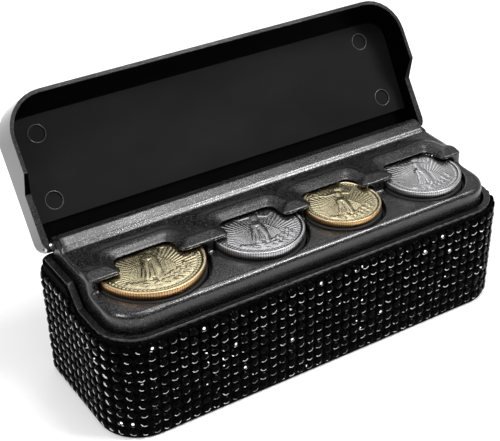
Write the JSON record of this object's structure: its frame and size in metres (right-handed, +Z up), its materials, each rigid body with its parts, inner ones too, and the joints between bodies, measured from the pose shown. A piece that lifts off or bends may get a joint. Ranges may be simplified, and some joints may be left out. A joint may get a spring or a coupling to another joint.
{
  "type": "coin case",
  "caption": "Rhinestone-covered coin case with a hinged lid and a sprung tray that holds round coins under a notched lip.",
  "frame": {"origin": "centre of the shell's flat underside", "axes": "+X along the case's long side to its right end, -Y the front, +Y the hinge side, +Z up; lid open at rest"},
  "size_m": [0.1058, 0.0561, 0.0615],
  "materials": {
    "shell_black": "satin black moulded plastic",
    "tray_black": "fine grained black moulded plastic",
    "lid_black": "glossy black moulded plastic",
    "rhinestone_black": "black faceted stones on a dark backing sheet",
    "coin_gold": "struck, gold colour with a copper tinted reeded edge",
    "coin_silver": "struck, silver colour with a reeded edge",
    "pin_steel": "drawn wire",
    "spring_steel": "bright spring wire",
    "pusher_black": "smooth black moulded plastic"
  },
  "bodies": {
    "base": {"base_shell": "shell_black", "base_rhinestones": "rhinestone_black", "coin_tray": "tray_black", "well_quarter": "pusher_black", "well_nickel": "pusher_black", "well_dime": "pusher_black", "well_penny": "pusher_black", "spring_plate": "pusher_black", "hinge_pin_left": "pin_steel", "hinge_pin_right": "pin_steel", "spring_quarter": "spring_steel", "spring_nickel": "spring_steel", "spring_dime": "spring_steel", "spring_penny": "spring_steel"},
    "lid": {"lid_shell": "lid_black", "lid_rhinestones": "rhinestone_black"},
    "quarter_stack": {"pusher_quarter": "pusher_black", "coin_quarter": "coin_gold"},
    "nickel_stack": {"pusher_nickel": "pusher_black", "coin_nickel": "coin_silver"},
    "dime_stack": {"pusher_dime": "pusher_black", "coin_dime": "coin_gold"},
    "penny_stack": {"pusher_penny": "pusher_black", "coin_penny": "coin_silver"}
  },
  "joints": [
    {"name": "lid_hinge", "type": "hinge", "parent": "base", "child": "lid", "pos_m": [0, 0.01565, 0.0318], "axis": [1, 0, 0], "range_deg": [0, 125.5]},
    {"name": "quarter_push", "type": "slide", "parent": "base", "child": "quarter_stack", "axis": [0, 0, 1], "range_m": [-0.018, 0], "stiffness_N_per_m": 60, "springref_m": 0.006, "deforming": ["spring_quarter"]},
    {"name": "nickel_push", "type": "slide", "parent": "base", "child": "nickel_stack", "axis": [0, 0, 1], "range_m": [-0.018, 0], "stiffness_N_per_m": 60, "springref_m": 0.006, "deforming": ["spring_nickel"]},
    {"name": "dime_push", "type": "slide", "parent": "base", "child": "dime_stack", "axis": [0, 0, 1], "range_m": [-0.018, 0], "stiffness_N_per_m": 60, "springref_m": 0.006, "deforming": ["spring_dime"]},
    {"name": "penny_push", "type": "slide", "parent": "base", "child": "penny_stack", "axis": [0, 0, 1], "range_m": [-0.018, 0], "stiffness_N_per_m": 60, "springref_m": 0.006, "deforming": ["spring_penny"]}
  ]
}
